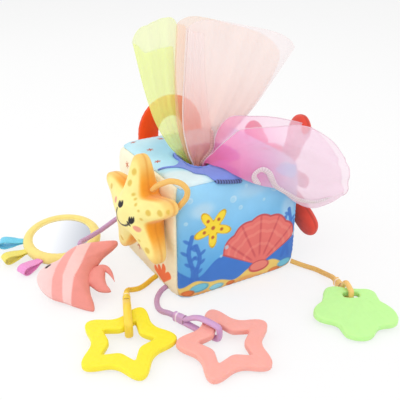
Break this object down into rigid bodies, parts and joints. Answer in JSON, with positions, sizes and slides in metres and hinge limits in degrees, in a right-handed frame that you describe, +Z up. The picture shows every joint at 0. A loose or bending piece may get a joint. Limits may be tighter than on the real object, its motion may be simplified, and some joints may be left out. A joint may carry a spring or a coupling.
{
  "type": "baby tissue box toy",
  "caption": "Padded fabric activity cube with a top opening for pull-out sheer scarves, and plush toys, a mirror and silicone teethers tied on short cords.",
  "frame": {"origin": "centre of the box underside", "axes": "+Z up, -Y out of the printed front panel"},
  "size_m": [0.3134, 0.3279, 0.2495],
  "materials": {
    "front_print": "printed short plush, padded",
    "cream_print": "printed short plush, padded",
    "side_print": "printed short plush, padded",
    "top_print": "printed short plush, padded",
    "base_cloth": "plain woven cloth, padded",
    "lining_cloth": "plain woven cloth",
    "cuff_cloth": "bound edge",
    "chiffon_lime": "sheer chiffon",
    "chiffon_orange": "sheer chiffon",
    "chiffon_blush": "sheer chiffon",
    "chiffon_rose": "sheer chiffon",
    "handle_plush": "short plush, padded",
    "starfish_plush": "short plush, stuffed",
    "fish_plush": "striped short plush, stuffed",
    "rim_plush": "short plush, padded",
    "mirror_film": "soft safety mirror",
    "back_cloth": "plain woven cloth",
    "ribbon_blue": "satin ribbon",
    "ribbon_yellow": "satin ribbon",
    "ribbon_pink": "satin ribbon",
    "cord_orange": "smooth round cord",
    "cord_purple": "smooth round cord",
    "cord_yellow": "smooth round cord",
    "teether_yellow": "satin silicone",
    "teether_pink": "satin silicone",
    "teether_green": "satin silicone",
    "crab_plush": "short plush, stuffed"
  },
  "bodies": {
    "box": {"front_panel": "front_print", "back_panel": "cream_print", "left_panel": "cream_print", "right_panel": "side_print", "top_panel": "top_print", "base_panel": "base_cloth", "inner_lining": "lining_cloth", "slot_cuff": "cuff_cloth", "rear_handle": "handle_plush", "crab_body": "crab_plush", "crab_claw_front": "crab_plush", "crab_leg_lower_front": "crab_plush", "crab_leg_upper_front": "crab_plush", "crab_claw_rear": "crab_plush", "crab_leg_lower_rear": "crab_plush", "crab_leg_upper_rear": "crab_plush", "fish_cord": "cord_purple", "yellow_cord": "cord_yellow", "purple_cord": "cord_purple", "orange_cord": "cord_orange"},
    "lime_scarf": {"scarf_lime": "chiffon_lime"},
    "orange_scarf": {"scarf_orange": "chiffon_orange"},
    "blush_scarf": {"scarf_blush": "chiffon_blush"},
    "rose_scarf": {"scarf_rose": "chiffon_rose"},
    "starfish": {"starfish_body": "starfish_plush", "starfish_arm_top": "starfish_plush", "starfish_arm_rear_upper": "starfish_plush", "starfish_arm_rear_lower": "starfish_plush", "starfish_arm_front_lower": "starfish_plush", "starfish_arm_front_upper": "starfish_plush", "starfish_cord": "cord_orange"},
    "fish": {"fish_body": "fish_plush", "fish_upper_fin": "fish_plush", "fish_lower_fin": "fish_plush", "fish_tail": "fish_plush"},
    "mirror": {"mirror_rim": "rim_plush", "mirror_disc": "mirror_film", "mirror_back": "back_cloth", "mirror_tab": "ribbon_yellow", "ribbon_tag_blue": "ribbon_blue", "ribbon_tag_yellow": "ribbon_yellow", "ribbon_tag_pink": "ribbon_pink"},
    "yellow_link": {"yellow_loop": "cord_yellow"},
    "yellow_star": {"yellow_star_teether": "teether_yellow"},
    "purple_link": {"purple_loop": "cord_purple"},
    "pink_star": {"pink_star_teether": "teether_pink"},
    "orange_link": {"orange_loop": "cord_orange"},
    "green_flower": {"green_flower_teether": "teether_green"}
  },
  "joints": [
    {"name": "lime_scarf_pull", "type": "slide", "parent": "box", "child": "lime_scarf", "axis": [0, 0, 1], "range_m": [0, 0.08]},
    {"name": "orange_scarf_pull", "type": "slide", "parent": "box", "child": "orange_scarf", "axis": [0, 0, 1], "range_m": [0, 0.08]},
    {"name": "blush_scarf_pull", "type": "slide", "parent": "box", "child": "blush_scarf", "axis": [0, 0, 1], "range_m": [0, 0.08]},
    {"name": "rose_scarf_pull", "type": "slide", "parent": "box", "child": "rose_scarf", "axis": [0, 0, 1], "range_m": [0, 0.08]},
    {"name": "starfish_swing", "type": "hinge", "parent": "box", "child": "starfish", "pos_m": [-0.068, -0.0695, 0.101], "axis": [0, 0, 1], "range_deg": [0, 40]},
    {"name": "fish_flap", "type": "hinge", "parent": "box", "child": "fish", "pos_m": [-0.1279, 0.0264, 0.0335], "axis": [-0.8902, 0.4546, -0.028], "range_deg": [0, 30]},
    {"name": "mirror_swing", "type": "hinge", "parent": "box", "child": "mirror", "pos_m": [-0.122, 0.038, 0.028], "axis": [0, 0, 1], "range_deg": [-10, 15]},
    {"name": "yellow_link_lift", "type": "hinge", "parent": "box", "child": "yellow_link", "pos_m": [-0.1084, -0.0394, 0.0128], "axis": [-0.9146, 0.4043, 0], "range_deg": [0, 45]},
    {"name": "yellow_star_swivel", "type": "hinge", "parent": "yellow_link", "child": "yellow_star", "pos_m": [-0.12915, -0.09194, 0.0083], "axis": [0, 0, 1], "range_deg": [-40, 0]},
    {"name": "purple_link_lift", "type": "hinge", "parent": "box", "child": "purple_link", "pos_m": [-0.0852, -0.0896, 0.0128], "axis": [-0.945, -0.3271, 0], "range_deg": [0, 45]},
    {"name": "pink_star_swivel", "type": "hinge", "parent": "purple_link", "child": "pink_star", "pos_m": [-0.06451, -0.13333, 0.0083], "axis": [0, 0, 1], "range_deg": [0, 20]},
    {"name": "orange_link_lift", "type": "hinge", "parent": "box", "child": "orange_link", "pos_m": [0.0769, -0.1176, 0.0128], "axis": [-0.9366, 0.3503, 0], "range_deg": [0, 45]},
    {"name": "green_flower_swivel", "type": "hinge", "parent": "orange_link", "child": "green_flower", "pos_m": [0.06836, -0.14826, 0.0083], "axis": [0, 0, 1], "range_deg": [0, 40]}
  ]
}
